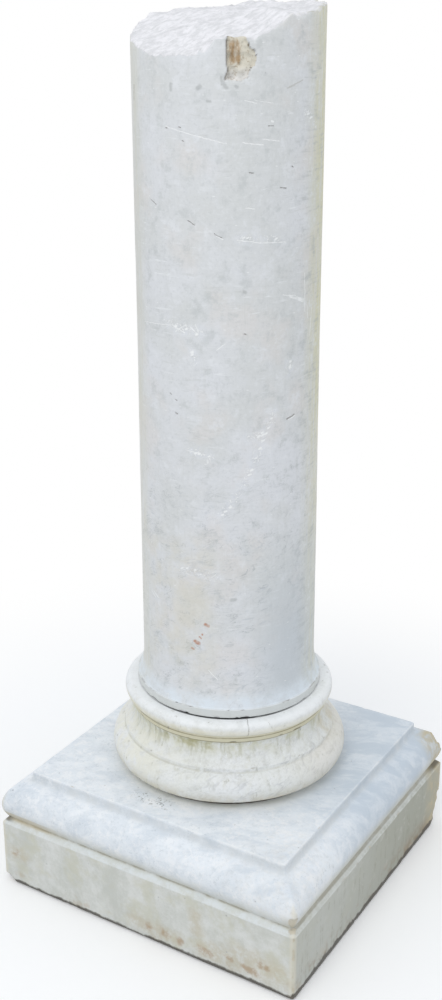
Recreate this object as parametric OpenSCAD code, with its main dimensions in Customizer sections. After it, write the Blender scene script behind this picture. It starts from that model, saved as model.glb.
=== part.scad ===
/* [Shaft] */
// Radius of the shaft just above its foot
shaft_r = 152; // [100:0.5:250]
// How much the radius shrinks over the tapered stretch
taper_in = 2.25; // [0:0.25:12]
// Height of the tapered stretch above the apophyge
taper_h = 565; // [200:5:900]
// Height from the foot to the middle of the broken top
stump_h = 1123.5; // [860:0.5:1600]
// How far the fillet at the foot stands out from the shaft
foot_out = 11; // [4:0.5:25]
// Height of the foot fillet
foot_h = 17; // [8:0.5:30]
// How far the apophyge, the hollow flare above the foot fillet, swings out
flare_out = 8; // [2:0.5:25]
// Height of the apophyge
flare_h = 44; // [20:1:80]
// Bevel under the foot fillet, which keeps the joint open
joint_ease = 2; // [0.5:0.5:4]

/* [Round base] */
// Flat left on top of the small torus outside the foot of the shaft
seat_margin = 10.5; // [2:0.5:40]
// Height of the small torus
upper_torus_h = 26; // [16:0.5:40]
// How far the thin fillet stands out from the flat on the small torus
neck_fillet_out = 3; // [0.5:0.5:7]
// Visible height of the thin fillet
neck_fillet_h = 12; // [5:0.5:20]
// How far the throat of the scotia lies behind the thin fillet
throat_in = 5; // [2:0.5:20]
// Height of the scotia, from the lip to the thin fillet
scotia_h = 44.5; // [30:0.5:80]
// Share of the scotia's height that lies below its throat
throat_at = 0.76; // [0.5:0.01:0.95]
// How far the lip stands out from the throat
lip_out = 17.5; // [8:0.5:30]
// Height of the lip above the top of the large torus
lip_h = 6; // [3:0.5:14]
// How far the large torus stands out from the lip
lower_torus_out = 22; // [6:0.5:60]
// Height of the large torus
lower_torus_h = 65; // [40:1:80]

/* [Plinth] */
// Flat ledge between the large torus and the edge of the top fillet
ledge = 47; // [5:1:200]
// Height of the plain slab, up to its bevelled arris
slab_h = 124; // [60:1:240]
// How far the bevelled arris of the slab leans in
arris_in = 10; // [2:0.5:16]
// How far the bevelled arris rises
arris_rise = 9.5; // [2:0.5:16]
// Radius of the round moulding that runs round the plinth
round_r = 42; // [25:1:60]
// Height of the round moulding above the slab's vertical face
round_h = 78; // [56:1:100]
// Height of the square fillet on top
top_fillet_h = 18.5; // [6:0.5:40]
// Wear on the four upright corners, measured along the diagonal
corner_wear = 5; // [1:0.5:12]
// Height of the chip under the left corner
left_chip_h = 16; // [4:1:40]
// Reach of the left chip along the bottom edges
left_chip_reach = 22; // [4:1:50]
// Height of the long chip up the far right corner
right_chip_h = 78; // [20:1:100]
// Reach of the right chip along the bottom edges
right_chip_reach = 26; // [4:1:50]

/* [Broken top] */
// Tilt of the main break, in degrees
break_tilt = 19.6; // [5:0.1:30]
// Way the main break falls, in degrees from +X
break_toward = -93; // [-180:1:180]
// Rise of the flatter back of the break above the main break, at the axis
back_rise = 3; // [0:0.5:20]
// Tilt of the flatter back, in degrees
back_tilt = 5.7; // [0:0.1:15]
// Way the flatter back falls, in degrees from +X
back_toward = -103.5; // [-180:0.5:180]
// Drop of the steep side of the break below the main break, at the axis
side_drop = 15; // [0:0.5:40]
// Tilt of the steep side, in degrees
side_tilt = 28.9; // [10:0.1:45]
// Way the steep side falls, in degrees from +X
side_toward = -121; // [-180:1:180]
// Middle of the broken pocket under the rim, in degrees from +X
pocket_at = -53; // [-180:0.5:180]
// Width of the pocket
pocket_w = 36; // [10:1:80]
// Depth of the pocket into the shaft
pocket_depth = 5; // [1:0.5:20]
// Drop of the pocket's floor below the middle of the broken top
pocket_drop = 74; // [50:1:150]

/* [Hidden] */
$fn = 96;

shaft_high_r = shaft_r - taper_in;
foot_r = shaft_r + foot_out;
flare_r = shaft_r + flare_out;
break_span = 6 * shaft_r;
uncut_h = stump_h + shaft_r;

upper_torus_in = foot_r + seat_margin;
neck_fillet_r = upper_torus_in + neck_fillet_out;
throat_r = neck_fillet_r - throat_in;
lip_r = throat_r + lip_out;
lower_torus_r = lip_r + lower_torus_out;
lower_torus_in = lower_torus_r - lower_torus_h / 2;

lip_top = lower_torus_h + lip_h;
throat_z = lip_top + throat_at * scotia_h;
scotia_top = lip_top + scotia_h;
// the small torus bulges down a little past the top of the fillet
torus_overlap = upper_torus_h / 2 - sqrt(pow(upper_torus_h / 2, 2) - pow(neck_fillet_out, 2));
upper_torus_z = scotia_top + neck_fillet_h - torus_overlap;
attic_base_h = upper_torus_z + upper_torus_h;

round_in = lower_torus_r + ledge;
half_side = round_in + round_r;
plinth_h = slab_h + round_h + top_fillet_h;

foot_z = plinth_h + attic_base_h;

// radius of a hollow arc that stands upright at one end and has moved out by `out` after `along`
function hollow_r(out, along) = (out * out + along * along) / (2 * out);

// ---- plinth ----

// Half of the plinth's section, from its middle line out
module plinth_half_section() {
    square([half_side, slab_h]);
    polygon([[0, slab_h], [half_side, slab_h], [half_side - arris_in, slab_h + arris_rise], [0, slab_h + arris_rise]]);
    translate([round_in, slab_h + round_h - round_r]) circle(r = round_r);
    square([round_in, plinth_h]);
}

// The section carried straight across the plinth, front to back
module plinth_run() {
    rotate([90, 0, 0])
        linear_extrude(height = 4 * half_side, center = true)
            union() {
                plinth_half_section();
                mirror([1, 0]) plinth_half_section();
            }
}

// Everything beyond a slanted plane at the corner that looks to `azimuth`: the plane starts
// `reach` along both bottom edges and leaves the upright corner at the height `rise`
module corner_chip(azimuth, rise, reach) {
    reach_in = reach / sqrt(2);
    rotate([0, 0, azimuth])
        translate([half_side * sqrt(2) - reach_in, 0, 0])
            rotate([0, atan2(reach_in, rise), 0])
                translate([half_side, 0, 0])
                    cube([2 * half_side, 4 * half_side, 4 * half_side], center = true);
}

module plinth() {
    worn_side = 2 * (half_side * sqrt(2) - corner_wear);
    color("gainsboro")
        difference() {
            intersection() {
                plinth_run();
                rotate([0, 0, 90]) plinth_run();
                rotate([0, 0, 45]) cube([worn_side, worn_side, 4 * plinth_h], center = true);
            }
            corner_chip(-135, left_chip_h, left_chip_reach);
            corner_chip(45, right_chip_h, right_chip_reach);
        }
}

// ---- round base ----

// Half of the section of the ring: large torus, lip and scotia, thin fillet, small torus
module attic_section() {
    scotia_r = hollow_r(lip_out, throat_at * scotia_h);
    translate([lower_torus_in, lower_torus_h / 2]) circle(d = lower_torus_h);
    square([lower_torus_in, lower_torus_h]);
    difference() {
        translate([0, lower_torus_h / 2]) square([lip_r, scotia_top - lower_torus_h / 2]);
        translate([throat_r + scotia_r, throat_z]) circle(r = scotia_r);
    }
    translate([0, scotia_top]) square([neck_fillet_r, neck_fillet_h]);
    translate([upper_torus_in, upper_torus_z + upper_torus_h / 2]) circle(d = upper_torus_h);
    translate([0, upper_torus_z]) square([upper_torus_in, upper_torus_h]);
}

module attic_base() {
    color("cornsilk")
        translate([0, 0, plinth_h])
            rotate_extrude() attic_section();
}

// ---- shaft ----

// Half of the section of the shaft, before it broke: foot fillet, apophyge, taper, plain shaft
module shaft_section() {
    apophyge_r = hollow_r(flare_out, flare_h);
    taper_start = foot_h + flare_h;
    polygon([[0, 0], [foot_r - joint_ease, 0], [foot_r, joint_ease], [foot_r, foot_h], [0, foot_h]]);
    difference() {
        translate([0, foot_h]) square([flare_r, flare_h]);
        translate([shaft_r + apophyge_r, taper_start]) circle(r = apophyge_r);
    }
    polygon([[0, taper_start], [shaft_r, taper_start], [shaft_high_r, taper_start + taper_h],
             [shaft_high_r, uncut_h], [0, uncut_h]]);
}

// Everything above a plane that crosses the axis at `height` and falls by `tilt` towards `toward`
module above(height, tilt, toward) {
    translate([0, 0, height])
        rotate([0, tilt, toward])
            translate([0, 0, break_span])
                cube(2 * break_span, center = true);
}

// A shallow box sunk into the skin of the shaft, open at the broken rim
module pocket() {
    rotate([0, 0, pocket_at])
        translate([shaft_high_r - pocket_depth, -pocket_w / 2, stump_h - pocket_drop])
            cube([shaft_r, pocket_w, break_span]);
}

module shaft() {
    color("whitesmoke")
        translate([0, 0, foot_z])
            difference() {
                rotate_extrude() shaft_section();
                above(stump_h + back_rise, back_tilt, back_toward);
                intersection() {
                    above(stump_h, break_tilt, break_toward);
                    above(stump_h - side_drop, side_tilt, side_toward);
                }
                pocket();
            }
}

plinth();
attic_base();
shaft();
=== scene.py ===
"""Looks of a broken marble column shaft that stands on a moulded round base and a square plinth.

Every size is in metres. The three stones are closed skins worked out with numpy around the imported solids:
a worn profile carried round a circle or a rounded square, and, on the shaft, a broken top.
"""

import itertools
import math

import bpy
import numpy as np
from mathutils import Matrix, Vector


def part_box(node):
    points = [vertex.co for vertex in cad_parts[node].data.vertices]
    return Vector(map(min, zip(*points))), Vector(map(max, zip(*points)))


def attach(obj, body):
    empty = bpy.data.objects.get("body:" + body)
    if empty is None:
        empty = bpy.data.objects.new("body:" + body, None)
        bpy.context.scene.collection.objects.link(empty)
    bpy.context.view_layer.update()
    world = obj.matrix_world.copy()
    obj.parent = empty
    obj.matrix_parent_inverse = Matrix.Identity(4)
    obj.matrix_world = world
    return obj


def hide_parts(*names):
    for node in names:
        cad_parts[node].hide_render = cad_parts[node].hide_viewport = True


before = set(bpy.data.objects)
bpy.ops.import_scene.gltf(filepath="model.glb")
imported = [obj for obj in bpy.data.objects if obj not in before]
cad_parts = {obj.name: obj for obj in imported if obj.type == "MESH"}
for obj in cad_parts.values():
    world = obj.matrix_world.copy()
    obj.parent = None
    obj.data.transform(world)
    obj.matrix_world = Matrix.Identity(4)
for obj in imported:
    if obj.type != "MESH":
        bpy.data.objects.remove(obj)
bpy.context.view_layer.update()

plinth_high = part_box("plinth")[1]
base_low, base_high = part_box("attic_base")
shaft_low, shaft_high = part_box("shaft")

MM = 0.001
FRONT = -60.0  # degrees round the column of its best side; the skins' seams lie opposite
SLAB_H, ROUND_TOP = 0.124, 0.202  # the plinth's plain slab and its round moulding, above the ground
LIP_H, NECK_H = 0.071, 0.1155  # the base's lip and thin fillet, above its own underside


# ---------------------------------------------------------------- noise and steps

def lattice_noise(points, seed):
    """Value noise: every whole-number lattice corner holds a fixed random number from -1 to 1, and a point
    takes the mix of its eight corners, weighted along each axis by 3t^2 - 2t^3."""
    size = 32
    table = np.random.default_rng(seed).uniform(-1, 1, (size, size, size))
    cell = np.floor(points).astype(int)
    part = points - cell
    ease = part * part * (3 - 2 * part)
    total = np.zeros(points.shape[:-1])
    for corner in itertools.product((0, 1), repeat=3):
        weight = np.prod(np.where(np.array(corner), ease, 1 - ease), axis=-1)
        i, j, k = np.moveaxis((cell + corner) % size, -1, 0)
        total += weight * table[i, j, k]
    return total


def rough(points, grain, octaves, seed):
    """Fractal noise: a sum of value noises, each with half the grain and half the height of the last."""
    total = np.zeros(points.shape[:-1])
    for octave in range(octaves):
        finer = 2 ** octave
        total += lattice_noise(points * (finer / grain) + 7.3 * octave, seed + octave) / finer
    return total


def rise_between(value, low, high):
    """Smooth step: 0 below low, 1 above high, and 3t^2 - 2t^3 between."""
    t = np.clip((value - low) / (high - low), 0, 1)
    return t * t * (3 - 2 * t)


# ---------------------------------------------------------------- profiles

def arc(centre, radius, start, end, count=60):
    """Points on a circle: the centre plus radius times (cosine, sine) of evenly spaced angles in degrees."""
    angle = np.radians(np.linspace(start, end, count))
    return np.column_stack([centre[0] + radius * np.cos(angle), centre[1] + radius * np.sin(angle)])


def hollow(low, throat, high, count=40):
    """A scotia: two arcs that meet upright at the throat. Each swings out from it by a circle's sagitta,
    so its radius is (out^2 + along^2) / (2 out)."""
    halves = []
    for end, way in ((low, -1), (high, 1)):
        out = end[0] - throat[0]
        along = abs(end[1] - throat[1])
        radius = (out ** 2 + along ** 2) / (2 * out)
        climb = np.linspace(0, along, count)
        swing = radius - np.sqrt(radius ** 2 - climb ** 2)
        halves.append(np.column_stack([throat[0] + swing, throat[1] + way * climb])[::way])
    return np.vstack(halves)


class Profile:
    """A worn outline of half-width against height, walked from the underside out, up and in over the top.

    Straight steps of 0.2 mm join its corners, and a running mean as long as `wear` rounds its arrises.
    `spacing` gives the distance between rows from half-width and height. `proud` is how far a row stands in
    front of the outline's own mean over 9 mm: above 0 on an arris, below 0 in a quirk.
    """

    STEP = 0.0002

    def __init__(self, corners, wear, spacing):
        corners = np.array(corners)
        length = np.concatenate([[0], np.cumsum(np.hypot(*np.diff(corners, axis=0).T))])
        walk = np.arange(0, length[-1], self.STEP)
        worn = self.mean(np.column_stack([np.interp(walk, length, side) for side in corners.T]), wear)
        tangent = np.gradient(worn, axis=0)
        tangent /= np.maximum(np.hypot(*tangent.T), 1e-9)[:, None]
        outward = np.column_stack([tangent[:, 1], -tangent[:, 0]])
        proud = np.sum((worn - self.mean(worn, 0.009)) * outward, axis=1)
        rank = np.cumsum(self.STEP / spacing(worn[:, 0], worn[:, 1]))
        rows = np.searchsorted(rank, np.linspace(rank[0], rank[-1], int(rank[-1]) + 2))
        rows = rows.clip(0, len(walk) - 1)
        self.half, self.height = worn[rows].T
        self.outward = outward[rows]
        self.proud = proud[rows]

    def mean(self, path, window):
        """Running mean of a path over a window in metres, with the path's ends held."""
        reach = max(int(window / self.STEP / 2), 1)
        padded = np.pad(path, ((reach, reach), (0, 0)), mode="edge")
        kernel = np.ones(2 * reach + 1) / (2 * reach + 1)
        return np.column_stack([np.convolve(side, kernel, mode="valid") for side in padded.T])


def plinth_profile():
    """Slab, bevelled arris, round moulding as one arc from the quirk to its top, square fillet, flat top."""
    half, top = plinth_high.x, plinth_high.z
    bevel_in, bevel_rise, round_r = 0.010, 0.0095, 0.042
    centre = (half - round_r, ROUND_TOP - round_r)
    quirk = (half - bevel_in, SLAB_H + bevel_rise)
    start = math.degrees(math.atan2(quirk[1] - centre[1], quirk[0] - centre[0]))
    corners = [(half - 0.035, 0), (half - 0.004, 0), (half, 0.004), (half, SLAB_H), quirk]
    cove, crown = 0.008, 0.0025
    corners += [*arc(centre, round_r, start, 90 - math.degrees(cove / round_r))]
    corners += [*arc((half - round_r + cove, ROUND_TOP + cove), cove, 262, 180, 16)]
    corners += [*arc((half - round_r - crown, top - crown), crown, 0, 90, 16), (0.150, top)]

    def spacing(h, z):
        edges = np.minimum(np.abs(z - SLAB_H - 0.005), np.abs(z - 0.211)) + 2 * np.maximum(0.25 - h, 0)
        return 0.0012 + 0.0018 * rise_between(edges, 0.006, 0.03) + 0.006 * rise_between(edges, 0.08, 0.2)

    return Profile(corners, 0.0022, spacing)


def base_profile():
    """Large torus, lip, scotia, thin fillet, small torus and the seat of the shaft."""
    low, top = base_low.z, base_high.z
    torus_line, torus_r = 0.1785, 0.0325
    lip, lip_top = 0.189, low + LIP_H
    throat = (0.1715, low + 0.1048)
    neck, neck_low = 0.1765, low + NECK_H
    small_line, small_r = 0.1735, 0.013
    under_lip = math.degrees(math.acos((lip - torus_line) / torus_r))
    over_neck = math.degrees(math.acos((neck - small_line) / small_r))
    corners = [(0.120, low), (0.182, low), *arc((torus_line, low + torus_r), torus_r, -30, under_lip)]
    corners += [(lip, lip_top), *hollow((lip, lip_top), throat, (neck, neck_low))]
    corners += [*arc((small_line, top - small_r), small_r, -over_neck, 90), (0.120, top)]

    def spacing(h, z):
        return 0.0017 + 0.012 * rise_between(0.172 - h, 0, 0.02)

    return Profile(corners, 0.0016, spacing)


FOOT_R, FOOT_H, EASE = 0.163, 0.017, 0.002
FLARE_R, FLARE_H = 0.160, 0.044
SHAFT_R, TAPER_IN, TAPER_H = 0.152, 0.00225, 0.565
SHAFT_MAIN = 1.340  # height where the rows close up towards the break


def shaft_profile():
    """Eased joint, foot fillet, hollow flare as one arc that ends upright, and the tapered shaft."""
    low = shaft_low.z
    flare_low, flare_top = low + FOOT_H, low + FOOT_H + FLARE_H
    flare_out = FLARE_R - SHAFT_R
    radius = (flare_out ** 2 + FLARE_H ** 2) / (2 * flare_out)
    climb = np.linspace(FLARE_H, 0, 40)
    flare = np.column_stack([SHAFT_R + radius - np.sqrt(radius ** 2 - climb ** 2), flare_top - climb])
    corners = [(0.130, low), (FOOT_R - EASE, low), (FOOT_R, low + EASE), (FOOT_R, flare_low), *flare]
    corners += [(SHAFT_R - TAPER_IN, flare_top + TAPER_H), (SHAFT_R - TAPER_IN, SHAFT_MAIN)]

    def spacing(h, z):
        return 0.0016 + 0.0064 * rise_between(z, flare_low + 0.002, flare_top) + 0.01 * (h < 0.145)

    return Profile(corners, 0.0018, spacing)


# ---------------------------------------------------------------- loops that a profile is carried round

def circle_loop(count, crowding=0.0):
    """Unit circle from the back round to the back again. Columns stand 1 - crowding as far apart at the
    front as an even share: angle = t + crowding sin t, with t even from -pi to pi and 0 at the front."""
    even = np.linspace(-math.pi, math.pi, count + 1)[:-1]
    angle = even - crowding * np.sin(even)
    world = angle + math.radians(FRONT)
    way = np.column_stack([np.cos(world), np.sin(world)])
    return way, way, angle


def square_loop(per_side, sharpness):
    """Unit rounded square |x|^n + |y|^n = 1, from corner to corner of each side. Along a side the slope
    t runs from -1 to 1 and closes up towards the corners as sin(pi t / 2); normals are the gradient."""
    t = np.linspace(-1, 1, per_side + 1)[:-1]
    slope = 0.35 * t + 0.65 * np.sin(t * math.pi / 2)
    ones = np.ones(per_side)
    side = np.column_stack([slope, -ones])
    turns = [np.array([[c, s], [-s, c]]) for c, s in ((1, 0), (0, 1), (-1, 0), (0, -1))]
    square = np.vstack([side @ turn for turn in turns])
    size = np.sum(np.abs(square) ** sharpness, axis=1) ** (1 / sharpness)
    place = square / size[:, None]
    normal = np.sign(place) * np.abs(place) ** (sharpness - 1)
    normal /= np.hypot(*normal.T)[:, None]
    return place, normal, np.linspace(-math.pi, math.pi, 4 * per_side + 1)[:-1]


def carry(profile, loop):
    """Sweep: a row's point is (half-width times the loop's unit point, height), and its normal mixes the
    loop's normal and the upright by the profile's outward slope."""
    place, normal, _ = loop
    points = np.empty((len(profile.half), len(place), 3))
    points[..., :2] = profile.half[:, None, None] * place
    points[..., 2] = profile.height[:, None]
    normals = np.empty_like(points)
    normals[..., :2] = profile.outward[:, None, :1] * normal
    normals[..., 2] = profile.outward[:, None, 1]
    return points, normals


# ---------------------------------------------------------------- wear

def chipped(points, corner, way, depth, ragged, reach, seed):
    """A chip: what lies beyond a plane, set `depth` inside the corner along `way`, moves back on to it.
    Noise makes the plane ragged, and the chip fades out `reach` away from the corner. Returns the points and
    where they were cut."""
    way = np.array(way) / np.linalg.norm(way)
    distance = np.linalg.norm(points - np.array(corner), axis=-1)
    beyond = (points - np.array(corner)) @ way + depth
    fade = 0.3 * rise_between(distance, 0.8 * reach, 1.5 * reach)
    beyond = beyond + ragged * rough(points, 0.012, 4, seed) - fade
    cut = np.maximum(beyond, 0)
    return points - cut[..., None] * way, rise_between(cut, 0, 0.0015)


def nibbled(points, normals, proud, grain, depth, floor, seed):
    """Small losses along arrises: inward by depth times the noise above `floor`, times how proud a row is."""
    share = rise_between(proud, 0.0001, 0.0007)[:, None]
    loss = depth * share * np.maximum(rough(points, grain, 3, seed) - floor, 0)
    return points - loss[..., None] * normals, rise_between(loss, 0.0002, 0.0012)


def hand_worked(points, normals, depth, seed):
    """A surface finished by hand: it dips inward by up to depth in soft waves 12 cm and 3 cm long."""
    wave = 0.7 * rough(points, 0.12, 2, seed) + 0.3 * rough(points, 0.03, 2, seed + 5)
    return points - (depth * np.clip(0.5 + 0.5 * wave, 0, 1))[..., None] * normals


# ---------------------------------------------------------------- skins

def capped(points, under, over, marks):
    """Closes a carried surface: adds flat rings, each a share of the end ring's width, inside its lowest and
    highest rings, and holds every mark's end rows over them."""
    rows = np.concatenate([flat_rings(points[0], under), points, flat_rings(points[-1], over)])
    held = {}
    for title, values in marks.items():
        values = np.broadcast_to(values, points.shape[:2])
        held[title] = np.pad(values, ((len(under), len(over)), (0, 0)), mode="edge")
    return rows, held


def flat_rings(ring, shares):
    """Rings of a flat end: the given ring drawn in to its own centre by each share of its width."""
    centre = ring.mean(axis=0)
    return centre + (ring - centre) * np.array(shares).reshape(-1, 1, 1)


def skin(name, rows, angle, material, marks):
    """A closed mesh: `rows` is a grid of rings from the underside to the top, closed at each end by a point
    at the ring's centre. Faces are quads (row, row + 1) by (column, column + 1), and triangles at the ends.
    The unrolled map holds metres round at the shaft's radius, 0 at the front, and metres of height."""
    row_count, column_count = rows.shape[:2]
    count = row_count * column_count
    vertices = np.vstack([rows.reshape(-1, 3), rows[0].mean(axis=0), rows[-1].mean(axis=0)])
    index = np.arange(count).reshape(row_count, column_count)
    right = np.roll(index, -1, axis=1)
    quads = np.stack([index[:-1], right[:-1], right[1:], index[1:]], axis=-1).reshape(-1, 4)
    under = np.column_stack([right[0], index[0], np.full(column_count, count)])
    over = np.column_stack([index[-1], right[-1], np.full(column_count, count + 1)])
    mesh = bpy.data.meshes.new(name)
    mesh.from_pydata(vertices.tolist(), [], quads.tolist() + under.tolist() + over.tolist())
    mesh.polygons.foreach_set("use_smooth", np.ones(len(mesh.polygons), bool))

    turn = np.append(angle, angle[0] + 2 * math.pi) * SHAFT_R
    here, after = turn[:-1], turn[1:]
    middle = (here + after) / 2
    round_quads = np.tile(np.column_stack([here, after, after, here]).ravel(), row_count - 1)
    round_under = np.column_stack([after, here, middle]).ravel()
    round_over = np.column_stack([here, after, middle]).ravel()
    corner_vertex = np.concatenate([quads.ravel(), under.ravel(), over.ravel()])
    round_all = np.concatenate([round_quads, round_under, round_over])
    unrolled = np.column_stack([round_all, vertices[corner_vertex, 2]])
    mesh.uv_layers.new(name="unrolled").data.foreach_set("uv", unrolled.ravel())

    for title, values in marks.items():
        values = np.concatenate([values.ravel(), [values[0].mean(), values[-1].mean()]])
        layer = mesh.attributes.new(title, "FLOAT", "POINT")
        layer.data.foreach_set("value", values.astype(np.float32))
    mesh.materials.append(material)
    mesh.update()
    piece = bpy.data.objects.new(name, mesh)
    bpy.context.scene.collection.objects.link(piece)
    return piece


def set_piece(piece, node):
    """Hands a finished skin to the frame: it rides the one body and stands for its solid."""
    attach(piece, "root")
    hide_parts(node)


# ---------------------------------------------------------------- plinth

def make_plinth(material):
    """Square plinth with worn mitres, two broken lower corners and nibbled arrises."""
    profile = plinth_profile()
    loop = square_loop(124, 120)
    points, normals = carry(profile, loop)
    points = hand_worked(points, normals, 0.0009, 11)
    points, nibble = nibbled(points, normals, profile.proud, 0.014, 0.0022, 0.45, 12)
    edge = plinth_high.x - 0.001
    chips = [
        ((edge, edge, 0.078), (1, 1, -0.47), 0.001, 0.004, 0.13),
        ((-edge, -edge, 0.016), (-1, -1, -1.9), 0.001, 0.004, 0.06),
        ((edge, edge, 0.165), (1, 1, 0.6), 0.010, 0.004, 0.06),
        ((edge - 0.006, -edge + 0.006, 0.143), (1, -1, -0.5), 0.0015, 0.0020, 0.02),
        ((edge, -edge, 0.062), (1, -1, 0.0), 0.0016, 0.0024, 0.075),
        ((edge, -edge, 0.0), (1, -1, -0.8), 0.0015, 0.003, 0.02),
        ((-edge, edge, 0.060), (-1, 1, 0.0), 0.0020, 0.0025, 0.08),
        ((edge, -0.018, 0.124), (1, 0, 0.8), 0.0018, 0.002, 0.007),
        ((-0.135, -edge, 0.0), (0, -1, -1.2), 0.003, 0.003, 0.05),
    ]
    broken = nibble
    for number, (place, way, depth, ragged, reach) in enumerate(chips):
        points, cut = chipped(points, place, way, depth, ragged, reach, 20 + number)
        broken = np.maximum(broken, cut)
    marks = {"broken": broken, "proud": profile.proud[:, None]}
    rows, marks = capped(points, (0.02, 0.4, 0.8), (0.8, 0.4, 0.02), marks)
    piece = skin("plinth_stone", rows, loop[2], material, marks)
    set_piece(piece, "plinth")


def make_base(material):
    """Round base: two toruses with a scotia between, and small losses along its lip and fillets."""
    profile = base_profile()
    loop = circle_loop(480)
    points, normals = carry(profile, loop)
    points = hand_worked(points, normals, 0.0008, 31)
    points, broken = nibbled(points, normals, profile.proud, 0.012, 0.0035, 0.45, 32)
    marks = {"broken": broken, "proud": profile.proud[:, None]}
    rows, marks = capped(points, (0.02, 0.5), (0.5, 0.02), marks)
    piece = skin("base_stone", rows, loop[2], material, marks)
    set_piece(piece, "attic_base")


# ---------------------------------------------------------------- shaft

def break_height(x, y):
    """Height of the broken top: the lower of a rear slope and the higher of a front and a side slope, each a
    plane, plus bell-shaped tongues on the rim and ridges that run uphill towards the back."""
    rear = 1.5005 + 0.0232 * x + 0.097 * y
    front = 1.4976 + 0.0186 * x + 0.356 * y
    side = 1.461 + 0.283 * (x - 0.104) + 0.4735 * (y + 0.108)
    height = np.minimum(rear, np.maximum(front, side))
    tongues = (
        ((0.066, -0.135), 0.020, 0.018),
        ((0.095, -0.120), 0.016, 0.006),
        ((-0.108, -0.104), 0.020, 0.004),
        ((-0.086, 0.123), 0.030, -0.007),
    )
    for (tx, ty), width, lift in tongues:
        height = height + lift * np.exp(-((x - tx) ** 2 + (y - ty) ** 2) / (2 * width ** 2))
    run_way = math.radians(72)
    along = x * math.cos(run_way) + y * math.sin(run_way)
    across = -x * math.sin(run_way) + y * math.cos(run_way)
    flat = np.zeros_like(x)
    here = np.stack([along / 7, across, flat], axis=-1)
    ridges = 1 - 2 * np.abs(rough(here, 0.015, 3, 41))
    grains = rough(np.stack([along / 3, across, flat], axis=-1), 0.006, 2, 47)
    flats = rough(np.stack([x, y, flat], axis=-1), 0.035, 2, 49)
    height = height + 0.0034 * ridges + 0.0010 * grains + 0.003 * flats - 0.002
    return np.minimum(height, shaft_high.z - 0.0004)


POCKET_LEFT = ((1.405, -60.8), (1.412, -61.4), (1.4225, -59.4), (1.430, -60.0), (1.475, -60.0))
POCKET_RIGHT = (
    (1.405, -50.5), (1.411, -49.3), (1.416, -47.1), (1.426, -44.9), (1.428, -42.3), (1.440, -42.7),
    (1.451, -45.5), (1.453, -47.2), (1.464, -48.3), (1.475, -49.0),
)


def pocket_depth(degrees, height):
    """Depth of the pocket below the rim, how near a point is to its outline, and whether it lies inside. The
    depth is 0 outside its two ragged sides, full 2 mm inside them, deepest along its straight left side and
    shelving to the right."""
    spot = np.stack(np.broadcast_arrays(degrees * math.radians(1) * SHAFT_R, height, 0.0), axis=-1)
    ragged = rough(spot, 0.010, 4, 65)
    left = np.interp(height, *np.array(POCKET_LEFT).T) + 0.3 * ragged
    right = np.interp(height, *np.array(POCKET_RIGHT).T) + 1.1 * ragged
    per_degree = math.radians(1) * SHAFT_R
    from_left = (degrees - left) * per_degree
    from_right = (right - degrees) * per_degree
    from_sill = height - 1.409 - 0.003 * ragged
    inside = rise_between(np.minimum(np.minimum(from_left, from_right), from_sill), -0.0007, 0.0022)
    shelving = np.clip(from_left / 0.045, 0, 1)
    patchy = rise_between(rough(spot, 0.006, 3, 67), -0.45, 0.15)
    patchy = patchy * (1 - 0.6 * rise_between(height, 1.424, 1.412))
    straight = rise_between(from_left, 0.004, 0.001)
    outline = rise_between(np.abs(inside - 0.45), 0.44, 0.27) * np.maximum(patchy, 0.8 * straight)
    return inside * (0.0085 - 0.0055 * shelving), outline, inside


CRUMBLE = 0.0028  # deepest scallop of the crumbled rim
RIM_WIDTH = 0.012  # outer part of the break, where its rings close up


def broken_side(place, radius):
    """Side above SHAFT_MAIN: rows that close up to the rim, which noise lowers and draws in. Returns the
    points, how far each lies below the rim, and the rim's scallops."""
    rim_xy = radius * place
    scallop = np.maximum(rough(np.column_stack([rim_xy, np.zeros(len(place))]), 0.012, 3, 51), 0)
    rim = break_height(*rim_xy.T) - CRUMBLE * scallop
    share = np.linspace(0, 1, 62)[1:, None] ** 0.85
    upper_z = SHAFT_MAIN + (rim - SHAFT_MAIN) * share
    below_rim = rim - upper_z
    draw_in = 0.0022 * scallop * np.exp(-below_rim / 0.004) + 0.0008 * np.exp(-below_rim / 0.0015)
    upper = np.empty((len(share), len(place), 3))
    upper[..., :2] = place * (radius - draw_in)[..., None]
    upper[..., 2] = upper_z
    return upper, below_rim, scallop


def broken_top(place, radius, edge_radius, scallop):
    """Rings of the break from the side's last row in to the axis, close together over RIM_WIDTH. Each ring
    lies at the break's height, less a crumble that fades inward."""
    rings = [np.linspace(0, RIM_WIDTH, 8)[1:], np.linspace(RIM_WIDTH, 1, 52)[1:-1]]
    inward = np.concatenate(rings)[:, None]
    further_in = (edge_radius - RIM_WIDTH) * (1 - (inward - RIM_WIDTH) / (1 - RIM_WIDTH))
    cap_radius = np.where(inward <= RIM_WIDTH, edge_radius - inward, further_in)
    cap_xy = cap_radius[..., None] * place
    crumble = CRUMBLE * scallop * np.exp(-(radius - cap_radius) / 0.006)
    height = break_height(*np.moveaxis(cap_xy, -1, 0)) - crumble
    return np.concatenate([cap_xy, height[..., None]], axis=-1)


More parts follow.
